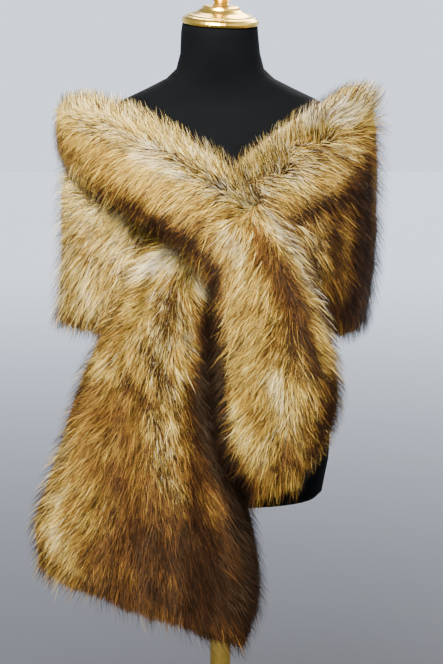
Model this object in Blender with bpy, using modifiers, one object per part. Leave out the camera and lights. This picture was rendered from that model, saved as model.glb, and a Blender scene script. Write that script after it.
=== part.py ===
"""Fur collar wrap worn by a limbless dress form on a round floor stand.

The stole is one long strip of thick fur.  It lies round the back and both
shoulders.  On the wearer's right its upper half rolls over, runs down across
the chest and hangs as a narrow lobe.  On the wearer's left it runs down to the
crossing, slips under the roll and fans out into a wide hanging panel.

Metres, +Z up, the wearer faces -Y, +X is the wearer's left.  The origin is the
centre of the stand's underside.
"""
import math
from collections import namedtuple

import bmesh
import bpy
from mathutils import Matrix, Vector

# ---- driving dimensions -------------------------------------------------
GAP = 0.0003                # clearance between neighbouring pieces

NECK_TOP_Z = 1.408          # centre of the neck's cut top
NECK_TOP_Y = -0.010         # the neck leans a little forward
NECK_TILT = math.radians(10.0)   # cut plane tips towards the front
NECK_ROLL = math.radians(2.7)    # and a little to the wearer's left
TORSO_BOTTOM_Z = 0.700
TORSO_POINTS = 40           # points round the torso
TORSO_SQUARENESS = 2.3      # superellipse power of a torso section

SEAM_Y = 0.020              # the side seams between back and front stretches
LEFT_SEAM_X = 0.2165        # how far the side seams stand off the middle
RIGHT_SEAM_X = 0.2195
FUR_POINTS = 26             # points round a section of the stole
FUR_STEPS = 3               # sections between two stations of a table
FUR_SQUARENESS = 2.8        # superellipse power of a stole section
# A free end closes through thinner sections: (share of the thickness left,
# share of half the thickness that the section stands ahead of the end).
END_ROUNDING = ((0.86, 0.75), (0.45, 1.0))

POLE_RADIUS = 0.016
COLLAR_HEIGHT = 0.026
BASE_RADIUS = 0.185
BASE_HUB_HEIGHT = 0.032
ROUND_STEPS = 48            # facets round a turned piece
POLE_STEPS = 24

COLLECTION = "fur_collar_wrap_on_dress_form"

# A row is one level of the torso: half its width, and how far its front and
# back stand off its middle, which lies at y.
Level = namedtuple("Level", "z half_width front back y")
TORSO = [
    Level(0.700, 0.148, 0.098, 0.100, 0.004),
    Level(0.708, 0.156, 0.104, 0.107, 0.004),
    Level(0.760, 0.166, 0.110, 0.117, 0.004),
    Level(0.830, 0.170, 0.112, 0.120, 0.004),
    Level(0.900, 0.156, 0.106, 0.106, 0.003),
    Level(0.950, 0.134, 0.096, 0.090, 0.002),
    Level(0.995, 0.122, 0.089, 0.082, 0.001),
    Level(1.040, 0.127, 0.093, 0.085, 0.000),
    Level(1.090, 0.140, 0.106, 0.092, 0.000),
    Level(1.140, 0.152, 0.118, 0.098, 0.000),
    Level(1.180, 0.159, 0.114, 0.102, 0.000),
    Level(1.215, 0.168, 0.100, 0.104, 0.002),
    Level(1.245, 0.177, 0.087, 0.101, 0.004),
    Level(1.266, 0.178, 0.074, 0.091, 0.006),
    Level(1.284, 0.165, 0.064, 0.080, 0.007),
    Level(1.300, 0.140, 0.059, 0.071, 0.006),
    Level(1.315, 0.108, 0.057, 0.064, 0.004),
    Level(1.329, 0.080, 0.057, 0.060, 0.002),
    Level(1.343, 0.065, 0.057, 0.058, -0.001),
    Level(1.365, 0.0590, 0.0575, 0.0575, -0.005),
]
NECK_TOP_RADIUS = 0.0554
NECK_EDGE = 0.0015          # rounding of the neck's cut edge
NECK_STRAIGHT = 0.014       # the neck is straight this far below its cut
CAP_HEIGHT = 0.0265

# A row is one station along the stole: the middle of the wall, the compass
# direction that its outer side faces in degrees (0 forward, -90 to the wearer's
# right), the direction of its upper edge seen from outside (90 points up, 0 to
# the onlooker's right), its width and thickness, how far the upper edge leans
# inwards, how much thicker it puffs outwards, how far the lower edge leans
# inwards, and the share of the folds that it has.
Station = namedtuple("Station", "x y z face turn width thick lean puff lean_low fold")

# From the wearer's right side round the back to the left side, over the left
# shoulder, down to the crossing and out of it as the wide hanging panel.
LONG_STRETCH = [
    Station(-RIGHT_SEAM_X, SEAM_Y, 1.133, -90, 90, 0.336, 0.042, 0.044, 0.036, -0.014, 0),
    Station(-0.208, 0.070, 1.125, -120, 90, 0.334, 0.042, 0.042, 0.026, -0.004, 0),
    Station(-0.166, 0.109, 1.115, -140, 90, 0.331, 0.042, 0.030, 0.010, 0.000, 0),
    Station(-0.090, 0.128, 1.106, -162, 90, 0.332, 0.042, 0.018, 0.002, 0.002, 0),
    Station(0.000, 0.132, 1.102, -180, 90, 0.330, 0.042, 0.014, 0.000, 0.004, 0),
    Station(0.090, 0.128, 1.106, -198, 90, 0.332, 0.042, 0.018, 0.002, 0.002, 0),
    Station(0.166, 0.109, 1.118, -220, 90, 0.338, 0.042, 0.030, 0.010, 0.000, 0),
    Station(0.206, 0.070, 1.130, -240, 90, 0.348, 0.042, 0.042, 0.028, 0.004, 0),
    Station(LEFT_SEAM_X, SEAM_Y, 1.138, -270, 90, 0.356, 0.042, 0.045, 0.054, 0.008, 0),
    Station(0.210, -0.038, 1.138, -288, 90, 0.360, 0.042, 0.041, 0.046, 0.010, 0),
    Station(0.182, -0.092, 1.133, -314, 90, 0.352, 0.042, 0.030, 0.018, 0.010, 0),
    Station(0.132, -0.132, 1.132, -333, 94, 0.298, 0.042, 0.018, 0.006, 0.010, 0),
    Station(0.075, -0.149, 1.124, -345, 105, 0.222, 0.042, 0.008, 0.002, 0.006, 0),
    Station(0.008, -0.152, 1.096, -357, 128, 0.140, 0.040, 0.002, 0.000, 0.002, 0),
    Station(-0.058, -0.151, 1.056, -366, 154, 0.130, 0.040, 0.000, 0.000, 0.000, 0.6),
    Station(-0.079, -0.160, 0.990, -370, 161, 0.150, 0.042, 0.004, 0.000, 0.000, 1),
    Station(-0.093, -0.162, 0.924, -370, 163, 0.190, 0.042, 0.010, 0.000, 0.002, 1),
    Station(-0.099, -0.158, 0.851, -370, 162, 0.240, 0.042, 0.018, 0.000, 0.004, 1),
    Station(-0.098, -0.154, 0.773, -369, 162, 0.292, 0.042, 0.024, 0.000, 0.006, 1),
    Station(-0.101, -0.150, 0.694, -368, 161, 0.336, 0.042, 0.026, 0.000, 0.008, 1),
    Station(-0.112, -0.147, 0.626, -368, 161, 0.358, 0.042, 0.026, 0.000, 0.008, 1),
    Station(-0.118, -0.145, 0.572, -368, 162, 0.334, 0.040, 0.022, 0.000, 0.006, 1),
]
LEFT_SEAM = 8               # the station of the left side seam
CROSSING = 13               # the station hidden deepest under the roll

# From the right side seam along the roll, over the crossing, down the lobe.
ROLL_STRETCH = [
    Station(-RIGHT_SEAM_X, SEAM_Y, 1.2575, -90, 90, 0.085, 0.046, 0.036, 0.034, 0.000, 0),
    Station(-0.214, -0.035, 1.251, -74, 84, 0.108, 0.050, 0.028, 0.030, 0.002, 0),
    Station(-0.168, -0.104, 1.230, -44, 70, 0.137, 0.054, 0.018, 0.012, 0.004, 0),
    Station(-0.096, -0.164, 1.196, -22, 58, 0.140, 0.054, 0.010, 0.000, 0.004, 0),
    Station(-0.020, -0.199, 1.150, -8, 51, 0.136, 0.054, 0.006, 0.000, 0.002, 0),
    Station(0.034, -0.206, 1.088, 2, 34, 0.134, 0.056, 0.006, 0.000, 0.004, 0),
    Station(0.064, -0.206, 1.015, 6, 12, 0.148, 0.058, 0.008, 0.000, 0.004, 0),
    Station(0.077, -0.203, 0.936, 7, 3, 0.174, 0.060, 0.010, 0.000, 0.006, 0),
    Station(0.081, -0.200, 0.880, 7, 2, 0.176, 0.060, 0.010, 0.000, 0.006, 0),
    Station(0.081, -0.197, 0.832, 7, 8, 0.162, 0.058, 0.008, 0.000, 0.004, 0),
    Station(0.081, -0.194, 0.792, 7, 12, 0.130, 0.054, 0.004, 0.000, 0.002, 0),
    Station(0.079, -0.192, 0.762, 7, 14, 0.082, 0.044, 0.000, 0.000, 0.000, 0),
]
LOBE_TOP = 6                # the station where the roll becomes the lobe

# The lower half of the stole at the right side, forward under the panel.
ARM_STRETCH = [
    Station(-RIGHT_SEAM_X, SEAM_Y, 1.0900, -90, 90, 0.2480, 0.042, 0.000, 0.000, -0.014, 0),
    Station(-0.215, -0.036, 1.079, -74, 90, 0.222, 0.042, 0.000, 0.000, -0.016, 0),
    Station(-0.180, -0.088, 1.058, -50, 90, 0.196, 0.040, 0.000, 0.000, -0.004, 0),
    Station(-0.128, -0.108, 1.052, -28, 90, 0.196, 0.034, 0.000, 0.000, 0.000, 0),
    Station(-0.080, -0.1135, 1.034, -14, 90, 0.150, 0.030, 0.000, 0.000, 0.000, 0),
    Station(-0.042, -0.112, 1.020, -6, 90, 0.110, 0.028, 0.000, 0.000, 0.000, 0),
]

PANEL_FOLDS = 3             # soft folds that fan out of the crossing
FOLD_DEPTH = 0.005


# ---- helpers ------------------------------------------------------------
def clear_scene():
    for old in list(bpy.data.objects):
        bpy.data.objects.remove(old, do_unlink=True)


def material(name, colour, roughness, metallic=0.0):
    made = bpy.data.materials.new(name)
    made.use_nodes = True
    shader = made.node_tree.nodes["Principled BSDF"]
    shader.inputs["Base Color"].default_value = (*colour, 1.0)
    shader.inputs["Roughness"].default_value = roughness
    shader.inputs["Metallic"].default_value = metallic
    return made


def add_object(name, mesh, finish, group, location=(0, 0, 0)):
    piece = bpy.data.objects.new(name, mesh)
    piece.location = location
    mesh.materials.append(finish)
    group.objects.link(piece)
    return piece


def loft(name, rings, finish, group):
    """A closed body through rings of equal point counts, with flat ends."""
    mesh = bpy.data.meshes.new(name)
    body = bmesh.new()
    rows = [[body.verts.new(point) for point in ring] for ring in rings]
    count = len(rows[0])
    for low, high in zip(rows, rows[1:]):
        for k in range(count):
            following = (k + 1) % count
            body.faces.new((low[k], low[following], high[following], high[k]))
    body.faces.new(reversed(rows[0]))
    body.faces.new(rows[-1])
    bmesh.ops.recalc_face_normals(body, faces=body.faces)
    for face in body.faces:
        face.smooth = len(face.verts) == 4
    body.to_mesh(mesh)
    body.free()
    return add_object(name, mesh, finish, group)


def turned(name, profile, finish, group, location, steps):
    """A turned piece: profile points (radius, height) run from the top of the
    axis down the outer side to the bottom of the axis."""
    mesh = bpy.data.meshes.new(name)
    points = [(radius, 0.0, height) for radius, height in profile]
    mesh.from_pydata(points, [(k, k + 1) for k in range(len(points) - 1)], [])
    piece = add_object(name, mesh, finish, group, location)
    screw = piece.modifiers.new("turn", "SCREW")
    screw.steps = steps
    screw.render_steps = steps
    screw.use_merge_vertices = True
    screw.merge_threshold = 0.0001
    screw.use_smooth_shade = True
    return piece


def power(value, exponent):
    return math.copysign(abs(value) ** exponent, value)


def smooth_between(rows, steps):
    """Rows of a table with more rows blended in between (Catmull-Rom)."""
    kind = type(rows[0])
    padded = [rows[0], *rows, rows[-1]]
    blended = []
    for before, start, end, after in zip(padded, padded[1:], padded[2:], padded[3:]):
        for step in range(steps):
            t = step / steps
            blended.append(kind(*(
                0.5 * (2 * b + (c - a) * t + (2 * a - 5 * b + 4 * c - d) * t ** 2
                       + (3 * b - a - 3 * c + d) * t ** 3)
                for a, b, c, d in zip(before, start, end, after))))
    return [*blended, rows[-1]]


# ---- dress form ---------------------------------------------------------
def torso_ring(level):
    points = []
    for k in range(TORSO_POINTS):
        angle = 2 * math.pi * k / TORSO_POINTS
        across = power(math.cos(angle), 2 / TORSO_SQUARENESS)
        along = power(math.sin(angle), 2 / TORSO_SQUARENESS)
        depth = level.back if along > 0 else level.front
        points.append(Vector((across * level.half_width, level.y + along * depth, level.z)))
    return points


def neck_cut():
    """Where the neck is cut: a frame whose Z is the cut plane's normal."""
    tip = Matrix.Rotation(NECK_TILT, 4, "X") @ Matrix.Rotation(NECK_ROLL, 4, "Y")
    return Matrix.Translation((0, NECK_TOP_Y, NECK_TOP_Z)) @ tip


def neck_ring(radius, height):
    cut = neck_cut()
    turn = 2 * math.pi / TORSO_POINTS
    return [cut @ Vector((radius * math.cos(k * turn), radius * math.sin(k * turn), height))
            for k in range(TORSO_POINTS)]


def build_torso(finish, group):
    """Hips, waist, chest, shoulders and neck in one smooth body."""
    rings = [torso_ring(level) for level in TORSO]
    rings.append(neck_ring(NECK_TOP_RADIUS + NECK_EDGE, -NECK_STRAIGHT))
    rings.append(neck_ring(NECK_TOP_RADIUS, -NECK_EDGE))
    rings.append(neck_ring(NECK_TOP_RADIUS - NECK_EDGE, 0.0))
    return loft("form_torso", rings, finish, group)


def build_cap(finish, group):
    """A stepped cap on the neck, and the knob screwed into it."""
    cut = neck_cut()
    rim = NECK_TOP_RADIUS
    cap = [
        (0.0, CAP_HEIGHT), (0.024, 0.0260), (0.0270, 0.0245), (0.0285, 0.0215),
        (0.0350, 0.0170), (0.0430, 0.0138), (0.0470, 0.0130), (0.0485, 0.0112),
        (0.0520, 0.0100), (rim + 0.0005, 0.0070), (rim + 0.0020, 0.0040),
        (rim + 0.0012, 0.0008), (rim, 0.0), (0.0, 0.0),
    ]
    knob = [
        (0.0, 0.0340), (0.0080, 0.0330), (0.0140, 0.0290), (0.0170, 0.0235),
        (0.0178, 0.0180), (0.0170, 0.0125), (0.0145, 0.0080), (0.0105, 0.0050),
        (0.0095, 0.0030), (0.0120, 0.0012), (0.0120, 0.0), (0.0, 0.0),
    ]
    knob_height = CAP_HEIGHT + 2 * GAP
    for name, profile, height in (("neck_cap", cap, GAP), ("cap_knob", knob, knob_height)):
        piece = turned(name, profile, finish, group, (0, 0, 0), ROUND_STEPS)
        piece.matrix_world = cut @ Matrix.Translation((0, 0, height))


def build_stand(finish, group):
    """A round base plate with a hub, a pole and the collar under the torso."""
    base = [
        (0.0, BASE_HUB_HEIGHT), (0.0215, BASE_HUB_HEIGHT), (0.0240, 0.0290), (0.0250, 0.0200),
        (0.0300, 0.0165), (0.0600, 0.0135), (BASE_RADIUS - 0.012, 0.0095),
        (BASE_RADIUS - 0.002, 0.0075), (BASE_RADIUS, 0.0050), (BASE_RADIUS, 0.0012),
        (BASE_RADIUS - 0.0012, 0.0), (0.0, 0.0),
    ]
    collar = [
        (0.0, COLLAR_HEIGHT), (0.046, COLLAR_HEIGHT), (0.048, COLLAR_HEIGHT - 0.002),
        (0.046, COLLAR_HEIGHT - 0.005), (0.030, 0.014), (0.0235, 0.003), (0.0205, 0.0), (0.0, 0.0),
    ]
    collar_z = TORSO_BOTTOM_Z - GAP - COLLAR_HEIGHT
    pole_top = collar_z - GAP
    pole_bottom = BASE_HUB_HEIGHT + GAP
    pole = [
        (0.0, pole_top), (POLE_RADIUS, pole_top), (POLE_RADIUS, pole_bottom), (0.0, pole_bottom),
    ]
    turned("stand_base", base, finish, group, (0, 0, 0), ROUND_STEPS)
    turned("stand_collar", collar, finish, group, (0, 0, collar_z), ROUND_STEPS)
    turned("stand_pole", pole, finish, group, (0, 0, 0), POLE_STEPS)


# ---- stole --------------------------------------------------------------
def stole_ring(station):
    """One section of the fur wall, a flat slab with round edges."""
    centre = Vector((station.x, station.y, station.z))
    face = math.radians(station.face)
    out = Vector((math.sin(face), -math.cos(face), 0))
    up = Vector((0, 0, 1))
    sideways = up.cross(out)
    turn = math.radians(station.turn)
    across = math.cos(turn) * sideways + math.sin(turn) * up
    ring = []
    for k in range(FUR_POINTS):
        angle = 2 * math.pi * k / FUR_POINTS
        u = power(math.cos(angle), 2 / FUR_SQUARENESS)
        v = power(math.sin(angle), 2 / FUR_SQUARENESS)
        upper = max(u, 0) ** 2
        lower = max(-u, 0) ** 2
        puff = station.puff * upper * (1 + v) / 2
        wave = station.fold * FOLD_DEPTH * math.cos(PANEL_FOLDS * math.pi * u)
        offset = v * station.thick / 2 - station.lean * upper - station.lean_low * lower
        ring.append(centre + across * (u * station.width / 2) + out * (offset + puff + wave))
    return ring


def flattened(ring, y):
    """The ring with every point moved onto the plane of a side seam."""
    return [Vector((point.x, y, point.z)) for point in ring]


def moved(ring, step):
    return [point + step for point in ring]


def heading(stations, index):
    """The direction in which the stretch runs at a station."""
    ahead = stations[min(index + 1, len(stations) - 1)]
    behind = stations[max(index - 1, 0)]
    return (Vector(ahead[:3]) - Vector(behind[:3])).normalized()


def closing_rings(station, ahead):
    """Two shrinking sections that round the stole's free end."""
    rings = []
    for shrink, reach in END_ROUNDING:
        end = station._replace(thick=station.thick * shrink,
                               width=station.width - station.thick * (1 - shrink))
        rings.append(moved(stole_ring(end), ahead * station.thick / 2 * reach))
    return rings


def build_stole(finish, group):
    """The six stretches, parted at the side seams, the crossing and the lobe."""
    long_run = smooth_between(LONG_STRETCH, FUR_STEPS)
    roll_run = smooth_between(ROLL_STRETCH, FUR_STEPS)
    arm_run = smooth_between(ARM_STRETCH, FUR_STEPS)
    left_seam = LEFT_SEAM * FUR_STEPS
    crossing = CROSSING * FUR_STEPS
    lobe_top = LOBE_TOP * FUR_STEPS
    long_rings = [stole_ring(station) for station in long_run]
    roll_rings = [stole_ring(station) for station in roll_run]
    arm_rings = [stole_ring(station) for station in arm_run]
    front_y = SEAM_Y - GAP
    step = 2 * GAP

    back = long_rings[:left_seam + 1]
    back[0] = flattened(back[0], SEAM_Y)
    back[-1] = flattened(back[-1], SEAM_Y)
    loft("fur_back", back, finish, group)

    cape = long_rings[left_seam:crossing + 1]
    cape[0] = flattened(cape[0], front_y)
    loft("fur_left_cape", cape, finish, group)

    panel = long_rings[crossing:]
    panel[0] = moved(panel[0], heading(long_run, crossing) * step)
    panel += closing_rings(long_run[-1], heading(long_run, len(long_run) - 1))
    loft("fur_front_panel", panel, finish, group)

    roll = roll_rings[:lobe_top + 1]
    roll[0] = flattened(roll[0], front_y)
    loft("fur_right_roll", roll, finish, group)

    lobe = roll_rings[lobe_top:]
    lobe[0] = moved(lobe[0], heading(roll_run, lobe_top) * step)
    lobe += closing_rings(roll_run[-1], heading(roll_run, len(roll_run) - 1))
    loft("fur_front_lobe", lobe, finish, group)

    arm_rings[0] = flattened(arm_rings[0], front_y)
    arm_rings += closing_rings(arm_run[-1], heading(arm_run, len(arm_run) - 1))
    loft("fur_right_arm", arm_rings, finish, group)


# ---- the part -----------------------------------------------------------
def main():
    clear_scene()
    group = bpy.data.collections.new(COLLECTION)
    bpy.context.scene.collection.children.link(group)
    fur = material("fur", (0.42, 0.25, 0.11), 0.9)
    jersey = material("black_jersey", (0.012, 0.012, 0.013), 0.85)
    gold = material("brass", (0.78, 0.56, 0.22), 0.25, 1.0)
    build_torso(jersey, group)
    build_cap(gold, group)
    build_stand(gold, group)
    build_stole(fur, group)


main()
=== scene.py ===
"""Looks of a fur collar wrap on a limbless dress form with a round floor stand.

The stole is a knit backing with a long pile: thin shells inside the stole's
solids, and tapered strands that grow out of them and end at the solids' skin.
How the pile is combed and toned is painted with short strokes in the stole's
own measures: stations along it and shares across it.

Metres, +Z up, the wearer faces -Y, +X is the wearer's left.
"""
import math
from collections import namedtuple

import bpy
import numpy as np
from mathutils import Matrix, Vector, kdtree, noise


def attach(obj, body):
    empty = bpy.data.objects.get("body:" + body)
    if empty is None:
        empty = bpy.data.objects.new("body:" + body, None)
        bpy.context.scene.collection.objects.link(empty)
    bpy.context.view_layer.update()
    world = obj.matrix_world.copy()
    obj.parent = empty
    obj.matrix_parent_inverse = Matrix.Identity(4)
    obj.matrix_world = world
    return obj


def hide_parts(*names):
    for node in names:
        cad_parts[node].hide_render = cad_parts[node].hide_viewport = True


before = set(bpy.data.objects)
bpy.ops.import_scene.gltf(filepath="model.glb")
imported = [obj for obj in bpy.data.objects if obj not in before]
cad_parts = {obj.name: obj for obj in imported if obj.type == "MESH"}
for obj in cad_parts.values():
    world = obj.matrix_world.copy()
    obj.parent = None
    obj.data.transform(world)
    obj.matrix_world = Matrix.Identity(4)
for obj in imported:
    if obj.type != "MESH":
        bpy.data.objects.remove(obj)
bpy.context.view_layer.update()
UP = np.array((0.0, 0.0, 1.0))

# ---- the stole's sections, as the solids have them ----------------------
LEFT_SEAM_X = 0.2165        # how far the side seams stand off the middle
RIGHT_SEAM_X = 0.2195
SEAM_Y = 0.020              # the side seams between back and front stretches
FUR_SQUARENESS = 2.8        # superellipse power of a section
PANEL_FOLDS = 3             # soft folds that fan out of the crossing
FOLD_DEPTH = 0.005

# Middle of the wall, the compass direction of its outer side (0 forward, -90 to
# the wearer's right), the direction of its upper edge seen from outside (90 up,
# 0 to the onlooker's right), width, thickness, inward lean of the upper edge,
# puff of the upper edge, inward lean of the lower edge, share of the folds.
Station = namedtuple("Station", "x y z face turn width thick lean puff lean_low fold")
FACE, WIDTH = (Station._fields.index(name) for name in ("face", "width"))
LONG_STRETCH = np.array([
    Station(-RIGHT_SEAM_X, SEAM_Y, 1.133, -90, 90, 0.336, 0.042, 0.044, 0.036, -0.014, 0),
    Station(-0.208, 0.070, 1.125, -120, 90, 0.334, 0.042, 0.042, 0.026, -0.004, 0),
    Station(-0.166, 0.109, 1.115, -140, 90, 0.331, 0.042, 0.030, 0.010, 0, 0),
    Station(-0.090, 0.128, 1.106, -162, 90, 0.332, 0.042, 0.018, 0.002, 0.002, 0),
    Station(0, 0.132, 1.102, -180, 90, 0.330, 0.042, 0.014, 0, 0.004, 0),
    Station(0.090, 0.128, 1.106, -198, 90, 0.332, 0.042, 0.018, 0.002, 0.002, 0),
    Station(0.166, 0.109, 1.118, -220, 90, 0.338, 0.042, 0.030, 0.010, 0, 0),
    Station(0.206, 0.070, 1.130, -240, 90, 0.348, 0.042, 0.042, 0.028, 0.004, 0),
    Station(LEFT_SEAM_X, SEAM_Y, 1.138, -270, 90, 0.356, 0.042, 0.045, 0.054, 0.008, 0),
    Station(0.210, -0.038, 1.138, -288, 90, 0.360, 0.042, 0.041, 0.046, 0.010, 0),
    Station(0.182, -0.092, 1.133, -314, 90, 0.352, 0.042, 0.030, 0.018, 0.010, 0),
    Station(0.132, -0.132, 1.132, -333, 94, 0.298, 0.042, 0.018, 0.006, 0.010, 0),
    Station(0.075, -0.149, 1.124, -345, 105, 0.222, 0.042, 0.008, 0.002, 0.006, 0),
    Station(0.008, -0.152, 1.096, -357, 128, 0.140, 0.040, 0.002, 0, 0.002, 0),
    Station(-0.058, -0.151, 1.056, -366, 154, 0.130, 0.040, 0, 0, 0, 0.6),
    Station(-0.079, -0.160, 0.990, -370, 161, 0.150, 0.042, 0.004, 0, 0, 1),
    Station(-0.093, -0.162, 0.924, -370, 163, 0.190, 0.042, 0.010, 0, 0.002, 1),
    Station(-0.099, -0.158, 0.851, -370, 162, 0.240, 0.042, 0.018, 0, 0.004, 1),
    Station(-0.098, -0.154, 0.773, -369, 162, 0.292, 0.042, 0.024, 0, 0.006, 1),
    Station(-0.101, -0.150, 0.694, -368, 161, 0.336, 0.042, 0.026, 0, 0.008, 1),
    Station(-0.112, -0.147, 0.626, -368, 161, 0.358, 0.042, 0.026, 0, 0.008, 1),
    Station(-0.118, -0.145, 0.572, -368, 162, 0.334, 0.040, 0.022, 0, 0.006, 1),
], float)
ROLL_STRETCH = np.array([
    Station(-RIGHT_SEAM_X, SEAM_Y, 1.2575, -90, 90, 0.085, 0.046, 0.036, 0.034, 0, 0),
    Station(-0.214, -0.035, 1.251, -74, 84, 0.108, 0.050, 0.028, 0.030, 0.002, 0),
    Station(-0.168, -0.104, 1.230, -44, 70, 0.137, 0.054, 0.018, 0.012, 0.004, 0),
    Station(-0.096, -0.164, 1.196, -22, 58, 0.140, 0.054, 0.010, 0, 0.004, 0),
    Station(-0.020, -0.199, 1.150, -8, 51, 0.136, 0.054, 0.006, 0, 0.002, 0),
    Station(0.034, -0.206, 1.088, 2, 34, 0.134, 0.056, 0.006, 0, 0.004, 0),
    Station(0.064, -0.206, 1.015, 6, 12, 0.148, 0.058, 0.008, 0, 0.004, 0),
    Station(0.077, -0.203, 0.936, 7, 3, 0.174, 0.060, 0.010, 0, 0.006, 0),
    Station(0.081, -0.200, 0.880, 7, 2, 0.176, 0.060, 0.010, 0, 0.006, 0),
    Station(0.081, -0.197, 0.832, 7, 8, 0.162, 0.058, 0.008, 0, 0.004, 0),
    Station(0.081, -0.194, 0.792, 7, 12, 0.130, 0.054, 0.004, 0, 0.002, 0),
    Station(0.079, -0.192, 0.762, 7, 14, 0.082, 0.044, 0, 0, 0, 0),
], float)
ARM_STRETCH = np.array([
    Station(-RIGHT_SEAM_X, SEAM_Y, 1.0900, -90, 90, 0.248, 0.042, 0, 0, -0.014, 0),
    Station(-0.215, -0.036, 1.079, -74, 90, 0.222, 0.042, 0, 0, -0.016, 0),
    Station(-0.180, -0.088, 1.058, -50, 90, 0.196, 0.040, 0, 0, -0.004, 0),
    Station(-0.128, -0.108, 1.052, -28, 90, 0.196, 0.034, 0, 0, 0, 0),
    Station(-0.080, -0.1135, 1.034, -14, 90, 0.150, 0.030, 0, 0, 0, 0),
    Station(-0.042, -0.112, 1.020, -6, 90, 0.110, 0.028, 0, 0, 0, 0),
], float)
TABLES = {"long": LONG_STRETCH, "roll": ROLL_STRETCH, "arm": ARM_STRETCH}

# ---- how the pile is combed ---------------------------------------------
# At a station and a share across (1 upper edge, -1 lower edge): the direction
# in which the tips point, seen from outside (0 right, 90 up, -90 down), and how
# far the pile lies over.
Comb = namedtuple("Comb", "at across angle lay")
COMBS = {
    "long": np.array([
        Comb(0.0, 1.0, 90, 0.5), Comb(0.0, 0.5, -96, 0.9), Comb(0.0, -0.6, -97, 1.0),
        Comb(2.0, 1.0, 85, 0.5), Comb(2.0, 0.5, -92, 0.9), Comb(2.0, -0.6, -86, 1.0),
        Comb(4.0, 1.0, 90, 0.5), Comb(4.0, 0.5, -90, 0.9), Comb(4.0, -0.6, -90, 1.0),
        Comb(6.0, 1.0, 95, 0.5), Comb(6.0, 0.5, -88, 0.9), Comb(6.0, -0.6, -94, 1.0),
        Comb(8.0, 1.0, 90, 0.5), Comb(8.0, 0.5, -80, 0.9), Comb(8.0, -0.6, -84, 1.0),
        Comb(10.0, 1.0, 80, 0.6), Comb(10.1, 0.80, 10, 0.8), Comb(10.0, 0.5, -42, 1.0),
        Comb(10.0, 0.1, -66, 1.0), Comb(10.0, -0.8, -78, 1.0),
        Comb(11.0, 1.0, 100, 0.6), Comb(11.0, 0.88, 108, 0.7), Comb(11.0, 0.60, -34, 1.0),
        Comb(11.0, 0.25, -46, 1.0), Comb(11.0, 0.0, -62, 1.0), Comb(11.0, -0.8, -68, 1.0),
        Comb(12.0, 1.0, 118, 0.6), Comb(12.0, 0.82, 124, 0.7), Comb(12.0, 0.48, -36, 1.0),
        Comb(12.0, 0.1, -48, 1.0), Comb(12.0, -0.6, -60, 1.0),
        Comb(13.0, 0.6, -130, 1.0), Comb(13.0, -0.6, -60, 1.0),
        Comb(14.0, 0.9, -150, 1.0), Comb(14.0, 0.1, -112, 1.0), Comb(14.0, -0.8, -50, 1.0),
        Comb(15.0, 0.9, -142, 1.0), Comb(15.5, 0.1, -103, 1.0), Comb(15.5, -0.8, -48, 1.0),
        Comb(17.0, 0.9, -136, 1.0), Comb(17.0, 0.2, -103, 1.0), Comb(17.0, -0.3, -72, 1.0),
        Comb(17.0, -0.9, -50, 1.0),
        Comb(19.0, 0.9, -126, 1.0), Comb(19.0, 0.2, -98, 1.0), Comb(19.0, -0.3, -78, 1.0),
        Comb(19.0, -0.9, -56, 1.0),
        Comb(21.0, 0.9, -116, 1.0), Comb(21.0, 0.0, -92, 1.0), Comb(21.0, -0.9, -70, 1.0),
    ], float),
    "roll": np.array([
        Comb(0.0, 1.0, 92, 0.5), Comb(0.0, 0.2, -100, 0.9), Comb(0.0, -0.8, -100, 1.0),
        Comb(1.0, 1.0, 100, 0.6), Comb(1.0, 0.2, -128, 0.9), Comb(1.0, -0.8, -112, 1.0),
        Comb(2.0, 1.0, 110, 0.6), Comb(2.0, 0.55, -172, 0.9), Comb(2.0, 0.1, -138, 1.0),
        Comb(2.0, -0.8, -124, 1.0),
        Comb(3.0, 1.0, 118, 0.6), Comb(3.0, 0.75, 135, 0.8), Comb(3.0, 0.4, -160, 1.0),
        Comb(3.0, -0.1, -138, 1.0), Comb(3.0, -0.8, -126, 1.0),
        Comb(4.0, 1.0, 112, 0.6), Comb(4.0, 0.72, 150, 0.7), Comb(4.0, 0.3, -150, 1.0),
        Comb(4.0, -0.8, -124, 1.0),
        Comb(5.0, 0.95, -50, 0.9), Comb(5.0, 0.45, -108, 1.0), Comb(5.0, 0.1, -130, 1.0),
        Comb(5.0, -0.8, -118, 1.0),
        Comb(6.0, 0.9, -56, 1.0), Comb(6.0, 0.62, -66, 1.0), Comb(6.0, 0.2, -122, 1.0),
        Comb(6.0, -0.8, -120, 1.0),
        Comb(7.0, 0.9, -56, 1.0), Comb(7.0, 0.5, -68, 1.0), Comb(7.0, 0.1, -120, 1.0),
        Comb(7.0, -0.8, -124, 1.0),
        Comb(8.5, 0.9, -62, 1.0), Comb(8.5, 0.35, -78, 1.0), Comb(8.5, -0.1, -112, 1.0),
        Comb(8.5, -0.8, -120, 1.0),
        Comb(10.5, 0.8, -76, 1.0), Comb(10.5, 0.0, -96, 1.0), Comb(10.5, -0.8, -112, 1.0),
    ], float),
    "arm": np.array([
        Comb(0.0, 0.0, -96, 1.0), Comb(1.5, 0.7, -112, 1.0), Comb(1.5, -0.6, -100, 1.0),
        Comb(3.5, 0.5, -118, 1.0), Comb(3.5, -0.6, -104, 1.0),
    ], float),
}

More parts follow.
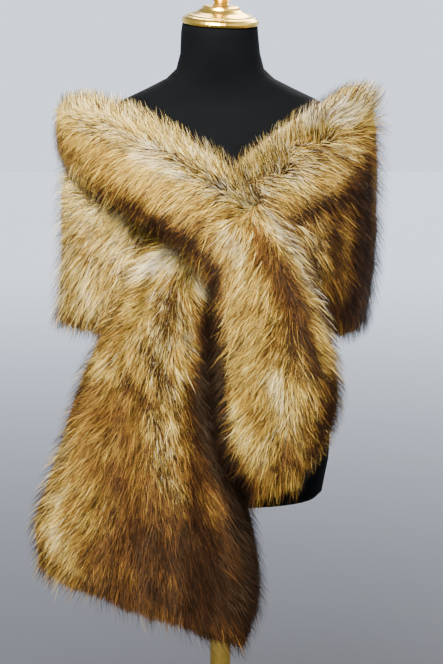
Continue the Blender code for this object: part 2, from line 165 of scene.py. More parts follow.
# ---- how its tone changes -----------------------------------------------
# A soft brush stroke from one place to another: its reach to either side in
# millimetres, the tone (0 black-brown, 0.5 gold, 0.85 cream, 1 grey), the share
# of dark hairs, and how strongly it covers what is below it.  A stroke fades
# away from its line, so one laid twice covers a strip more evenly.  Hairs lean,
# so a mark shows a little further down than its stroke.
Stroke = namedtuple("Stroke", "at across to_at to_across reach tone flecks cover")
STROKES = {
    "long": [
        Stroke(-1.0, 0, 22.0, 0, 900, 0.52, 0.28, 1.0),
        # back: cream edge, gold, dark stripe, tan, brown hem
        Stroke(-0.6, 0.50, 0.5, 0.50, 60, 0.60, 0.24, 0.8),
        Stroke(0.0, 0.95, 8.4, 0.95, 30, 0.84, 0.10, 0.9),
        Stroke(1.2, 0.36, 7.4, 0.30, 18, 0.12, 0.45, 0.9),
        Stroke(0.0, -0.15, 7.0, -0.2, 34, 0.66, 0.20, 0.8),
        Stroke(0.0, -0.98, 7.6, -0.98, 14, 0.28, 0.45, 0.8),
        # left cape: pale shoulder, gold collar, grey streaks under the parting
        Stroke(10.8, 0.98, 8.8, 0.90, 20, 0.92, 0.12, 0.95),
        Stroke(12.3, 0.90, 11.1, 0.92, 13, 0.74, 0.20, 0.9),
        Stroke(11.8, 1.03, 10.6, 1.03, 8, 0.80, 0.20, 0.85),
        # painted shade in the corner of the V
        Stroke(12.4, 0.98, 12.3, 0.84, 5, 0.15, 0.45, 0.85),
        Stroke(10.9, 0.92, 10.1, 0.92, 11, 0.98, 0.22, 0.92),
        # painted shade along the parting, where the hair parts
        Stroke(10.5, 0.84, 10.1, 0.80, 4, 0.80, 0.80, 0.8),
        Stroke(12.2, 0.70, 11.2, 0.80, 5, 0.62, 0.66, 0.8),
        Stroke(12.1, 0.60, 11.1, 0.52, 14, 0.84, 0.62, 0.92),
        Stroke(11.2, 0.66, 10.5, 0.66, 12, 0.60, 0.60, 0.85),
        Stroke(10.4, 0.60, 10.0, 0.56, 11, 0.70, 0.30, 0.88),
        Stroke(9.9, 0.62, 9.3, 0.60, 12, 0.48, 0.35, 0.9),
        Stroke(10.3, 0.80, 9.9, 0.80, 9, 0.98, 0.15, 0.9),
        Stroke(10.5, 0.46, 9.9, 0.44, 11, 0.46, 0.45, 0.85),
        # gold ridge over a black brow, brown side, pale edge by the lobe
        Stroke(9.9, 0.24, 9.9, -0.70, 20, 0.05, 0.35, 0.94),
        Stroke(8.0, 0.56, 9.4, 0.50, 13, 0.34, 0.25, 0.88),
        Stroke(9.5, 0.40, 9.4, -0.50, 17, 0.02, 0.35, 0.96),
        Stroke(7.8, 0.20, 8.8, -0.80, 46, 0.06, 0.30, 0.95),
        Stroke(10.6, 0, 10.6, -0.60, 16, 0.22, 0.60, 0.90),
        Stroke(11.2, -0.10, 11.1, -0.60, 14, 0.56, 0.62, 0.85),
        Stroke(10.9, -0.78, 10.0, -0.85, 19, 0.10, 0.40, 0.94),
        Stroke(12.0, 0.31, 10.4, 0.42, 10, 0.62, 0.25, 0.9),
        Stroke(11.60, 0.03, 11.1, 0.13, 9, 0, 0.40, 0.95),
        Stroke(11.50, 0.04, 11.1, 0.13, 7, 0, 0.40, 1.0),
        Stroke(11.1, 0.13, 10.2, 0.20, 11, 0, 0.40, 1.0),
        Stroke(11.1, 0.13, 10.2, 0.20, 9, 0, 0.40, 1.0),
        Stroke(10.3, 0.26, 9.9, 0.36, 9, 0.14, 0.40, 0.9),
        Stroke(11.35, -0.36, 11.1, -0.54, 6, 0.04, 0.60, 0.9),
        Stroke(12.3, 0.20, 11.9, -0.15, 9, 0.88, 0.38, 0.9),
        Stroke(11.9, -0.15, 11.6, -0.50, 8, 0.84, 0.38, 0.9),
        Stroke(11.6, -0.55, 11.2, -0.90, 8, 0.80, 0.35, 0.85),
        # front panel: cream locks at the crossing, gold, red-brown, dark end
        Stroke(17.4, 0.20, 18.6, 0, 60, 0.36, 0.30, 0.85),
        Stroke(16.2, -0.25, 17.0, -0.45, 14, 0.66, 0.66, 0.85),
        Stroke(19.3, 0.05, 21.6, 0.20, 60, 0.22, 0.35, 0.9),
        Stroke(19.0, -0.55, 22.0, -0.60, 60, 0.10, 0.42, 0.95),
        Stroke(14.9, 0.90, 15.1, 0.35, 16, 0.58, 0.20, 0.85),
        Stroke(14.4, 1.00, 13.8, 0.20, 14, 0.86, 0.15, 0.9),
        # cream, made paler as painted light against the roll's shadow on the panel's top
        Stroke(13.3, 0.45, 14.0, 0.60, 12, 0.95, 0.12, 0.9),
        Stroke(16.0, -0.58, 17.2, -0.48, 14, 0.46, 0.45, 0.85),
        Stroke(19.8, 0.60, 20.4, 0.25, 18, 0.32, 0.40, 0.88),
        Stroke(20.6, 0.75, 21.4, 0.50, 13, 0.46, 0.35, 0.8),
        Stroke(14.6, 0.10, 15.4, -0.10, 14, 0.72, 0.66, 0.85),
        Stroke(14.3, 0.10, 14.1, -0.20, 8, 0.55, 0.60, 0.7),
        Stroke(13.5, -0.10, 14.1, -0.66, 12, 0.95, 0.15, 0.9),
        Stroke(14.4, 0.05, 14.7, -0.30, 9, 0.60, 0.80, 0.8),
        Stroke(15.6, 0.85, 15.3, 0.60, 8, 0.40, 0.40, 0.7),
        Stroke(14.9, 0.05, 15.0, -0.30, 10, 0.45, 0.60, 0.7),
        Stroke(14.8, -0.40, 15.4, -0.60, 10, 0.74, 0.66, 0.85),
        Stroke(16.1, 0.95, 16.4, 0.55, 12, 0.70, 0.12, 0.8),
        Stroke(17.5, 0.90, 16.9, 0.40, 20, 0.37, 0.18, 0.88),
        Stroke(18.0, 0.80, 18.3, 0.40, 18, 0.40, 0.20, 0.85),
        Stroke(16.7, -0.04, 17.7, -0.22, 13, 0.62, 0.62, 0.8),
        Stroke(17.8, -0.08, 18.3, -0.26, 13, 0.56, 0.66, 0.8),
        # painted shade on its right part, beside the lobe
        Stroke(17.6, -0.50, 18.7, -0.42, 16, 0.14, 0.35, 0.88),
        Stroke(18.9, 0.95, 17.9, 1.00, 12, 0.68, 0.30, 0.8),
        Stroke(19.2, 0.92, 20.2, 0.76, 17, 0.72, 0.20, 0.88),
        Stroke(19.6, 0.65, 20.6, 0.62, 12, 0.60, 0.20, 0.85),
        Stroke(18.2, 0.40, 19.0, 0.10, 16, 0.25, 0.30, 0.88),
        Stroke(17.9, 0.10, 18.9, -0.05, 13, 0.33, 0.40, 0.8),
        Stroke(19.3, -0.05, 19.8, -0.40, 26, 0.14, 0.40, 0.92),
        Stroke(19.8, 0.25, 20.5, -0.05, 21, 0.23, 0.35, 0.85),
        Stroke(19.3, -0.50, 20.1, -0.80, 28, 0.09, 0.30, 0.95),
        Stroke(20.2, -0.10, 21.0, -0.60, 13, 0.14, 0.40, 0.85),
        Stroke(21.0, 0.60, 21.0, 0.30, 9, 0.24, 0.50, 0.8),
        Stroke(15.6, -0.10, 15.9, -0.55, 7, 0.74, 0.30, 0.85),
        Stroke(15.6, 0.15, 16.1, -0.15, 12, 0.60, 0.78, 0.85),
        Stroke(17.1, 1.00, 16.7, 0.75, 5, 0.12, 0.50, 0.85),
        Stroke(16.4, 0.35, 16.7, -0.02, 12, 0.24, 0.60, 0.88),
        Stroke(19.9, 0.20, 20.2, 0.10, 7, 0.42, 0.20, 0.8),
        # its edge in the shade beside the lobe
        Stroke(14.6, -1.00, 15.8, -0.92, 17, 0, 0.30, 1.0),
        Stroke(14.6, -1.00, 15.8, -0.94, 14, 0, 0.30, 1.0),
        Stroke(15.8, -0.94, 16.4, -0.84, 23, 0, 0.30, 1.0),
        Stroke(15.8, -0.96, 16.4, -0.90, 17, 0, 0.30, 1.0),
        Stroke(16.4, -0.84, 17.4, -0.84, 30, 0, 0.30, 1.0),
        Stroke(16.4, -0.90, 17.4, -0.90, 25, 0, 0.30, 1.0),
        Stroke(17.4, -0.90, 18.4, -0.92, 21, 0, 0.30, 1.0),
        Stroke(17.4, -0.94, 18.4, -0.94, 17, 0, 0.30, 1.0),
        Stroke(18.4, -0.88, 19.5, -0.94, 19, 0, 0.30, 0.98),
        Stroke(18.6, -1.00, 20.6, -1.02, 19, 0.03, 0.30, 1.0),
    ],
    "roll": [
        Stroke(-1.0, 0, 12.0, 0, 900, 0.58, 0.24, 1.0),
        # shoulder end and the pale ridge under the parting
        Stroke(0.0, 0.95, 2.4, 0.90, 18, 0.80, 0.10, 0.85),
        Stroke(1.3, 0.10, 2.1, -0.15, 14, 0.56, 0.15, 0.8),
        Stroke(0.9, -0.20, 1.7, -0.40, 11, 0.34, 0.30, 0.8),
        Stroke(2.0, -0.40, 2.6, -0.36, 9, 0.46, 0.20, 0.8),
        Stroke(1.8, 0.50, 2.5, 0.50, 13, 0.70, 0.40, 0.85),
        Stroke(2.5, 0.46, 3.2, 0.62, 13, 0.78, 0.42, 0.85),
        Stroke(2.8, 0.30, 3.5, 0.38, 11, 0.94, 0.18, 0.88),
        Stroke(3.3, 0.62, 4.1, 0.50, 14, 0.66, 0.55, 0.85),
        Stroke(2.4, 0.28, 2.9, 0.50, 5, 0.74, 0.75, 0.6),
        Stroke(3.2, 0.55, 3.5, 0.55, 6, 0.72, 0.80, 0.6),
        Stroke(4.0, 0.65, 4.2, 0.60, 6, 0.60, 0.85, 0.7),
        Stroke(2.3, 0.98, 3.9, 0.98, 10, 0.80, 0.12, 0.8),
        # gold band, then the dark stripe along the lower edge: dark fur, and partly painted
        # shade where the roll turns under
        Stroke(1.4, 0.10, 3.0, -0.08, 16, 0.53, 0.12, 0.94),
        Stroke(3.0, -0.08, 3.9, -0.10, 12, 0.58, 0.14, 0.9),
        Stroke(3.2, -0.28, 4.2, -0.26, 10, 0.57, 0.16, 0.8),
        Stroke(2.2, -0.40, 3.6, -0.50, 9, 0.50, 0.12, 0.8),
        Stroke(0.6, -0.70, 1.0, -0.74, 13, 0.46, 0.30, 0.8),
        # gold fringe on the lower rim, made paler as painted light against the shade under
        # the roll
        Stroke(0.8, -1.02, 2.8, -1.04, 11, 0.74, 0.20, 0.92),
        Stroke(2.8, -1.04, 3.7, -1.06, 9, 0.48, 0.30, 0.92),
        Stroke(2.1, -0.66, 2.4, -0.70, 8, 0.38, 0.40, 0.85),
        Stroke(2.4, -0.66, 3.0, -0.70, 11, 0.26, 0.50, 0.9),
        Stroke(3.0, -0.70, 3.6, -0.75, 12, 0.13, 0.50, 0.96),
        Stroke(3.6, -0.77, 4.2, -0.68, 14, 0.04, 0.50, 0.96),
        Stroke(4.2, -0.68, 4.9, -0.68, 11, 0.05, 0.50, 0.94),
        Stroke(4.9, -0.70, 5.4, -0.92, 10, 0.04, 0.50, 0.96),
        # over the crossing: streaks, grey whorl, orange ridge, pale edge
        Stroke(4.5, 0.02, 5.2, -0.15, 12, 0.80, 0.25, 0.85),
        Stroke(4.1, -0.20, 4.5, -0.40, 9, 0.46, 0.20, 0.8),
        Stroke(4.0, 0.62, 4.4, 0.85, 12, 0.80, 0.65, 0.85),
        Stroke(4.3, 0.30, 4.7, 0.62, 12, 0.54, 0.30, 0.85),
        Stroke(4.7, 0.85, 5.3, 0.80, 10, 0.55, 0.35, 0.85),
        Stroke(4.8, 0.50, 5.3, 0.42, 12, 0.30, 0.25, 0.9),
        Stroke(5.2, 0.36, 6.0, 0.36, 15, 0.25, 0.35, 0.9),
        Stroke(5.4, 0.62, 6.4, 0.60, 12, 0.24, 0.45, 0.9),
        Stroke(4.9, 0.65, 5.0, 0.60, 4, 0.15, 0.50, 0.8),
        Stroke(5.5, 0.45, 6.0, 0.55, 8, 0.20, 0.50, 0.85),
        Stroke(4.7, 0.98, 5.3, 0.96, 11, 0.88, 0.30, 0.92),
        Stroke(5.3, 0.98, 7.0, 0.98, 10, 0.92, 0.28, 0.9),
        # lobe
        Stroke(6.2, 0.50, 7.2, 0.58, 14, 0.30, 0.50, 0.88),
        Stroke(7.5, 0.74, 9.0, 0.70, 14, 0.30, 0.50, 0.9),
        Stroke(5.5, -0.55, 7.8, -0.50, 20, 0.57, 0.18, 0.8),
        Stroke(6.0, -0.12, 6.6, -0.08, 14, 0.48, 0.25, 0.8),
        Stroke(6.4, 0.80, 7.4, 0.85, 8, 0.55, 0.20, 0.7),
        Stroke(7.6, -0.65, 8.5, -0.40, 10, 0.47, 0.12, 0.75),
        Stroke(7.8, -0.85, 9.6, -0.80, 10, 0.76, 0.12, 0.75),
        Stroke(8.1, -0.06, 8.8, 0.10, 13, 0.62, 0.30, 0.75),
        Stroke(8.9, -0.05, 9.4, 0.30, 13, 0.46, 0.35, 0.85),
        Stroke(8.0, 0.45, 8.8, 0.48, 12, 0.40, 0.40, 0.8),
        Stroke(8.7, -0.58, 9.4, -0.45, 11, 0.72, 0.12, 0.8),
        Stroke(7.3, -0.08, 7.9, 0.04, 12, 0.84, 0.25, 0.85),
        Stroke(6.3, 0.10, 7.0, 0.22, 12, 0.44, 0.40, 0.85),
        Stroke(7.2, 0.62, 7.9, 0.60, 9, 0.46, 0.55, 0.8),
        Stroke(6.9, -0.30, 8.4, -0.34, 9, 0.55, 0.20, 0.8),
        Stroke(6.2, 0.33, 6.7, 0.30, 6, 0.14, 0.60, 0.85),
        Stroke(6.4, 0.55, 7.2, 0.62, 7, 0.12, 0.55, 0.88),
        Stroke(7.5, 0.85, 8.5, 0.85, 10, 0.08, 0.50, 0.92),
        Stroke(8.6, 0.80, 9.7, 0.66, 11, 0.05, 0.50, 0.95),
        Stroke(9.6, 0.10, 10.5, 0.70, 12, 0.26, 0.35, 0.85),
        Stroke(9.9, -0.10, 10.2, 0, 6, 0.15, 0.60, 0.7),
        Stroke(10.4, -0.70, 11.0, 0.10, 12, 0.40, 0.15, 0.9),
        Stroke(11.4, -0.60, 11.4, 0.60, 7, 0.12, 0.50, 0.7),
        # its left rim in the shade
        Stroke(5.3, -1.06, 7.0, -1.06, 9, 0, 0.30, 1.0),
        Stroke(5.3, -1.06, 9.2, -1.06, 8, 0, 0.30, 1.0),
        Stroke(7.2, -1.06, 9.2, -1.06, 12, 0, 0.30, 1.0),
        Stroke(9.2, -1.06, 10.8, -1.08, 15, 0, 0.30, 1.0),
        Stroke(9.2, -1.06, 10.8, -1.08, 12, 0, 0.30, 1.0),
    ],
    "arm": [
        Stroke(-1.0, 0, 6.0, 0, 900, 0.65, 0.30, 1.0),
        # its top under the roll: gold, made paler as painted light against the roll's shade
        Stroke(0.4, 0.90, 3.0, 0.82, 18, 0.76, 0.18, 0.9),
        Stroke(1.0, 1.02, 3.4, 0.98, 10, 0.88, 0.12, 0.9),
        # painted shade under the end of the roll, a little darker than the arm around it
        Stroke(3.2, 0.80, 3.9, 0.76, 9, 0.56, 0.30, 0.85),
        Stroke(3.9, 0.94, 4.4, 0.80, 9, 0.52, 0.30, 0.8),
        Stroke(2.5, 0.34, 3.1, 0.30, 10, 0.80, 0.12, 0.7),
        Stroke(0.6, 0.35, 0.7, -0.40, 8, 0.42, 0.35, 0.7),
        Stroke(1.8, 0.40, 2.0, 0.10, 6, 0.34, 0.35, 0.75),
        Stroke(2.2, 0.60, 2.4, 0.10, 5, 0.42, 0.35, 0.6),
        Stroke(1.7, -0.10, 2.2, -0.50, 15, 0.78, 0.15, 0.7),
        Stroke(2.5, -0.20, 3.2, -0.75, 14, 0.58, 0.25, 0.75),
        Stroke(0.5, -0.75, 1.8, -0.86, 9, 0.62, 0.30, 0.7),
        Stroke(0.0, -0.98, 2.6, -0.99, 7, 0.34, 0.50, 0.8),
        # painted shade in the corner where roll, arm and panel meet
        Stroke(3.8, 0.88, 4.5, 0.92, 9, 0.44, 0.35, 0.8),
    ],
}

# ---- pile ---------------------------------------------------------------
SHEET_DEPTH = -0.66         # where the backing lies in the wall, -1 inner side
EDGE_PILE = 0.026           # the backing ends this far inside the solid's edge
FOLDED_DEPTH = 0.22         # half the depth of a backing that is folded double
NARROWEST_BACKING = 0.45    # the least share of the wall that the backing takes
INNER_SIDE = -0.1           # below this share through the wall, the pile turns in
INNER_SHARE = 0.3           # and is this dense

ROWS = np.array([0.0, 0.48, 1.0])           # points along a strand
ROW_TONES = np.array([-0.16, -0.03, 0.02])  # added to the tone, root to tip
DARK_TIPS = np.array([0.6, 0.17, 0.07])     # a dark hair's share of the tone
ROW_SHADES = np.array([0.24, 0.80, 0.98])   # shade from root to tip
PILE_LAY = 0.031            # how far a strand leans over
PILE_TWIST = 0.004          # how far it bends out of the combed direction
BACKSET = 0.55              # the share of its lean by which a strand is rooted back
STRAND_WIDTH = 0.00092
STRAND_ROLL = 0.45          # how far its flat side turns off the skin
SOFTNESS = 0.6              # how far a strand is shaded as the skin around it

TUFT_AREA = 4.5e-5          # skin that one tuft covers, in square metres
TUFT_PULL = 0.11            # how far its tips draw together
PULL_RANGE = (0.5, 1.1)     # and by what factor that varies
TUFT_SWAY = 0.07            # spread of a tuft's direction, in radians
TUFT_RISE = (0.91, 1.0)     # height, against the depth of the pile
TUFT_LAY = (0.85, 1.2)      # lean, against the combed one
TUFT_TONE = 0.045           # spread of its tone
# Slow waves over the whole stole: how strong they are, how many to a metre and
# where in the noise they lie.
Wave = namedtuple("Wave", "strength pitch start")
SWAY_WAVE = Wave(0.24, 26, Vector((0, 0, 0)))
TONE_WAVE = Wave(0.10, 34, Vector((9, 0, 0)))
LAY_WAVE = Wave(0.35, 30, Vector((0, 7, 0)))

HAIR_RISE = (0.80, 1.0)     # a strand against its tuft: height, lean, direction
HAIR_LAY = (0.8, 1.15)
HAIR_SWAY = 0.09
HAIR_WIDTH = (0.75, 1.25)
HAIR_SHADE = (0.80, 1.0)
VERGE = 0.85                # past this share across, a strand stands on the verge
GUARD_SHARE = 0.17          # strands that stand out of the pile, long and thin
GUARD_VERGE = 1.5           # how many times as many the verge has
GUARD_RISE = 0.05           # how far each stands out, at the least
GUARD_TAIL = 0.18           # how much further on average, twice that on the verge
GUARD_TAIL_END = 0.60       # and at the most
GUARD_LAY = 0.3             # how much more it leans, at the most
GUARD_SWAY = 2.2            # how many times as far it strays
GUARD_WIDTH = 0.5           # its width, against a strand's
STRAY_SHARE = 0.12          # guard hairs that stand out further still
STRAY_RISE = (0.2, 0.6)
LONGEST = 1.5               # the longest strand, against the depth of the pile

GROUND_TONE = 0.5           # what the first stroke is laid on
GROUND_FLECKS = 0.2
BLUR = 0.035                # how far the tones run into each other
UNEVEN_HAIR = 0.11          # spread of the tone from hair to hair
# How much of that shows: more where there are flecks, less in dark places.
Slope = namedtuple("Slope", "foot rise top")
FLECKS_UNEVEN = Slope(0.35, 2.4, 1.4)
TONE_UNEVEN = Slope(0.1, 1.6, 1)
LIGHT_SHARE = 0.14          # strands of a lighter tone than their place
LIGHT_HAIR = 0.18
DARK_SHARE = 0.85           # dark hairs for each measure of flecks
DARK_GUARDS = 0.2           # share of dark hairs among the guard hairs,
DARK_GUARDS_VERGE = 0.42    # among those on the verge,
DARK_GUARDS_FLECKS = 1.2    # and more for each measure of flecks
TONE_RANGE = (0.01, 0.985)
TONE_STEP = 0.002           # a strand's width on the colour map
PILE_MAP = "OFBake"         # across: tone, up: shade from root to tip

# A stretch of pile: where it runs, the angles round the section that it covers
# (0 upper edge, 90 outer face, 180 lower edge), its strands, and whether the
# backing is folded double, with pile all round.
Pile = namedtuple("Pile", "name run start end first last strands folded")
PILES = [
    Pile("pile_back", "long", 0.0, 8.0, -50, 230, 56000, False),
    Pile("pile_left_cape", "long", 8.0, 13.0, -50, 230, 90000, False),
    Pile("pile_front_panel", "long", 13.2, 22.0, -50, 230, 98000, False),
    Pile("pile_right_roll", "roll", 0.0, 6.0, -60, 240, 82000, True),
    Pile("pile_front_lobe", "roll", 6.0, 12.0, -90, 270, 74000, True),
    Pile("pile_right_arm", "arm", 0.0, 5.6, -40, 230, 48000, False),
]
BACKING_END = {"long": 20.55, "roll": 10.25, "arm": 4.6}


def columns(table, at):
    """The station columns at fractional stations (Catmull-Rom)."""
    at = np.clip(at, 0, len(table) - 1)
    low = np.minimum(at.astype(int), len(table) - 2)
    t = (at - low)[:, None]
    a = table[np.maximum(low - 1, 0)]
    b = table[low]
    c = table[low + 1]
    d = table[np.minimum(low + 2, len(table) - 1)]
    return 0.5 * (2 * b + (c - a) * t + (2 * a - 5 * b + 4 * c - d) * t ** 2
                  + (3 * b - a - 3 * c + d) * t ** 3)


def unit(vectors):
    return vectors / np.maximum(np.linalg.norm(vectors, axis=-1, keepdims=True), 1e-9)


def station_axes(table, at):
    """Outward and sideways directions of the wall at each station."""
    face = np.radians(columns(table, at)[:, FACE])
    out = np.stack([np.sin(face), -np.cos(face), 0 * face], 1)
    side = np.cross(UP, out)
    return out, side


def wall_point(table, at, u, v):
    """Points of the wall: u across it (1 upper edge), v through it (1 outside).
    Past the last station the end rounds off."""
    x, y, z, _, turn, width, thick, lean, puff, lean_low, fold = columns(table, at).T
    last = len(table) - 1
    past = np.clip(at - last, 0, 1) * math.pi / 2
    ahead = unit(table[last, :3] - table[last - 1, :3])
    reach = thick / 2 * np.sin(past)
    width = width - thick * (1 - np.cos(past))
    thick = thick * np.maximum(np.cos(past), 0.1)   # never quite flat
    out, side = station_axes(table, at)
    turn = np.radians(turn)[:, None]
    across = np.cos(turn) * side + np.sin(turn) * UP
    upper = np.maximum(u, 0) ** 2
    lower = np.maximum(-u, 0) ** 2
    offset = v * thick / 2 - lean * upper - lean_low * lower
    offset += puff * upper * (1 + v) / 2
    offset += fold * FOLD_DEPTH * np.cos(PANEL_FOLDS * math.pi * u)
    centre = np.stack([x, y, z], 1) + ahead * reach[:, None]
    return centre + across * (u * width / 2)[:, None] + out * offset[:, None]


def rim(angle):
    """A section's skin at an angle: share across and share through."""
    def share(value):
        return np.sign(value) * np.abs(value) ** (2 / FUR_SQUARENESS)
    return share(np.cos(angle)), share(np.sin(angle))


def skin_point(table, at, angle):
    return wall_point(table, at, *rim(angle))


def skin_normal(table, at, angle):
    step = 0.02             # stations, and radians round the section
    along = skin_point(table, at + step, angle) - skin_point(table, at - step, angle)
    around = skin_point(table, at, angle + step) - skin_point(table, at, angle - step)
    normal = unit(np.cross(around, along))
    outward = skin_point(table, at, angle) - wall_point(table, at, 0 * at, 0 * at)
    flip = np.sign((normal * outward).sum(1, keepdims=True))
    return normal * np.where(flip == 0, 1, flip)


def backing_share(table, at):
    """How far across the wall the backing reaches at each station."""
    width = columns(table, at)[:, WIDTH]
    return np.maximum(1 - 2 * EDGE_PILE / width, NARROWEST_BACKING)


def root_point(pile, at, angle):
    """Where a strand is rooted in the backing."""
    table = TABLES[pile.run]
    at = np.minimum(at, BACKING_END[pile.run])
    u, v = rim(angle)
    reach = backing_share(table, at)
    if pile.folded:
        return wall_point(table, at, u * reach, v * FOLDED_DEPTH)
    edge = np.where(np.sin(angle) < 0, np.sign(u), u)
    return wall_point(table, at, edge * reach, np.full_like(at, SHEET_DEPTH))


def measures(table, at, across):
    """Places in metres: along the middle line and across from it."""
    stations = np.arange(len(table))
    steps = np.linalg.norm(np.diff(table[:, :3], axis=0), axis=1)
    run = np.concatenate([[0], np.cumsum(steps)])
    first, last = run[1] - run[0], run[-1] - run[-2]
    along = np.interp(at, stations, run)
    along += np.minimum(at, 0) * first + np.maximum(at - stations[-1], 0) * last
    return np.stack([along, across * columns(table, at)[:, WIDTH] / 2], 1)


COMB_REACH = 0.012          # metres round a mark that it rules alone
COMB_FADE = -2.5            # how fast a mark's say falls off past that


def combed(run, at, across):
    """Direction in which the tips point, as an arrow (right, up) as seen from
    outside, whose length says how far the pile lies over."""
    table = TABLES[run]
    rows = COMBS[run]
    here = measures(table, at, across)
    marks = measures(table, rows[:, 0], rows[:, 1])
    angle = np.radians(rows[:, 2])
    arrows = np.stack([np.cos(angle), np.sin(angle)], 1)
    near = ((here[:, None] - marks[None]) ** 2).sum(2) + COMB_REACH ** 2
    weight = near ** COMB_FADE
    weight /= weight.sum(1, keepdims=True)
    return unit(weight @ arrows) * (weight @ rows[:, 3])[:, None]


def painted(run, at, across):
    """Tone and share of dark hairs at each place."""
    table = TABLES[run]
    here = measures(table, at, across)
    tone = np.full(len(at), GROUND_TONE)
    flecks = np.full(len(at), GROUND_FLECKS)
    for stroke in STROKES[run]:
        ends = measures(table, np.array([stroke.at, stroke.to_at]),
                        np.array([stroke.across, stroke.to_across]))
        line = ends[1] - ends[0]
        share = np.clip(((here - ends[0]) @ line) / max(line @ line, 1e-9), 0, 1)
        gap = np.linalg.norm(here - ends[0] - share[:, None] * line, axis=1)
        cover = stroke.cover * np.exp(-(gap / (stroke.reach / 1000)) ** 2)
        tone += (stroke.tone - tone) * cover
        flecks += (stroke.flecks - flecks) * cover
    return tone, flecks


CELL_STATIONS = 0.05        # size of the cells over which strands are spread
CELL_DEGREES = 4.0


def scattered(pile, count, rng):
    """Stations and angles of places spread evenly over the skin, and its area."""
    table = TABLES[pile.run]
    step, turn = CELL_STATIONS, math.radians(CELL_DEGREES)
    at = np.arange(pile.start, pile.end - step / 2, step)
    angle = np.radians(np.arange(pile.first, pile.last, CELL_DEGREES))
    a, b = (grid.ravel() for grid in np.meshgrid(at, angle, indexing="ij"))
    along = skin_point(table, a + step, b) - skin_point(table, a, b)
    around = skin_point(table, a, b + turn) - skin_point(table, a, b)
    area = np.linalg.norm(np.cross(along, around), axis=1)
    inner = np.sin(b + turn / 2) < INNER_SIDE
    area = np.where(inner, area * INNER_SHARE, area)
    total = np.cumsum(area)
    share = (np.arange(count) + rng.random(count)) / count
    cell = np.minimum(np.searchsorted(total, share * total[-1]), len(a) - 1)
    at = a[cell] + step * rng.random(count)
    return at, b[cell] + turn * rng.random(count), total[-1]


def strand_arcs(pile, at, angle, rise, lay, sway, twist):
    """The points of each strand, rows first: out of the backing, then over in
    the direction in which the pile is combed."""
    table = TABLES[pile.run]
    root = root_point(pile, at, angle)
    skin = skin_point(table, at, angle)
    normal = skin_normal(table, at, angle)
    arrow = combed(pile.run, at, rim(angle)[0])
    cos, sin = np.cos(sway), np.sin(sway)
    right = arrow[:, 0] * cos - arrow[:, 1] * sin
    up = arrow[:, 0] * sin + arrow[:, 1] * cos
    side = station_axes(table, at)[1]
    comb = side * right[:, None] + UP * up[:, None]
    comb -= normal * (comb * normal).sum(1, keepdims=True)
    out = (skin - root) * rise[:, None]
    over = comb * (PILE_LAY * lay)[:, None]
    over += np.cross(normal, comb) * (twist * PILE_TWIST)[:, None]
    t = ROWS[:, None, None]
    return root + out * (1 - (1 - t) ** 2) + over * (t ** 1.5 - BACKSET), normal


Tufts = namedtuple("Tufts", "sway rise lay tone arc tree")


def waved(wave, place):
    return wave.strength * noise.noise(place * wave.pitch + wave.start)


def laid_tufts(pile, rng):
    """Small groups of strands that stand, lean and are toned alike."""
    table = TABLES[pile.run]
    skin_area = scattered(pile, 2, rng)[2]
    count = int(skin_area / TUFT_AREA)
    at, angle, _ = scattered(pile, count, rng)
    sway = rng.normal(0, TUFT_SWAY, count)
    rise = rng.uniform(*TUFT_RISE, count)
    lay = rng.uniform(*TUFT_LAY, count)
    tone = rng.normal(0, TUFT_TONE, count)
    tree = kdtree.KDTree(count)
    for k, heart in enumerate(skin_point(table, at, angle)):
        place = Vector(heart)
        sway[k] += waved(SWAY_WAVE, place)
        tone[k] += waved(TONE_WAVE, place)
        lay[k] += waved(LAY_WAVE, place)
        tree.insert(place, k)
    tree.balance()
    arc, _ = strand_arcs(pile, at, angle, rise, lay, sway, 0 * at)
    return Tufts(sway, rise, lay, tone, arc, tree)


def strand_heights(rise, guard, verge, rng):
    """How far each strand stands out: 1 is the solids' skin."""
    count = len(rise)
    rise = rise * rng.uniform(*HAIR_RISE, count)
    tail = rng.exponential(np.where(verge, 2, 1) * GUARD_TAIL)
    rise += guard * (GUARD_RISE + np.minimum(tail, GUARD_TAIL_END))
    stray = guard & (rng.random(count) < STRAY_SHARE)
    return np.minimum(rise + stray * rng.uniform(*STRAY_RISE, count), LONGEST)


def up_slope(slope, value):
    return np.minimum(slope.foot + slope.rise * value, slope.top)


def strand_tones(run, at, across, tuft, tufts, guard, verge, rng):
    """The tone of each strand, in a row for each point along it."""
    count = len(at)
    blur = rng.normal(0, BLUR, (2, count))
    tone, flecks = painted(run, at + blur[0], across + blur[1])
    uneven = tufts.tone[tuft] + rng.normal(0, UNEVEN_HAIR, count)
    uneven += LIGHT_HAIR * (rng.random(count) < LIGHT_SHARE)
    tone = tone + uneven * up_slope(FLECKS_UNEVEN, flecks) * up_slope(TONE_UNEVEN, tone)
    chance = rng.random(count)
    clump = 0.5 + rng.random(len(tufts.tone))[tuft]
    dark = chance < DARK_SHARE * flecks * clump
    share = np.where(verge, DARK_GUARDS_VERGE, DARK_GUARDS) + DARK_GUARDS_FLECKS * flecks
    dark |= guard & (rng.random(count) < share)
    tones = np.where(dark, tone * DARK_TIPS[:, None], tone + ROW_TONES[:, None])
    return np.clip(tones, *TONE_RANGE)


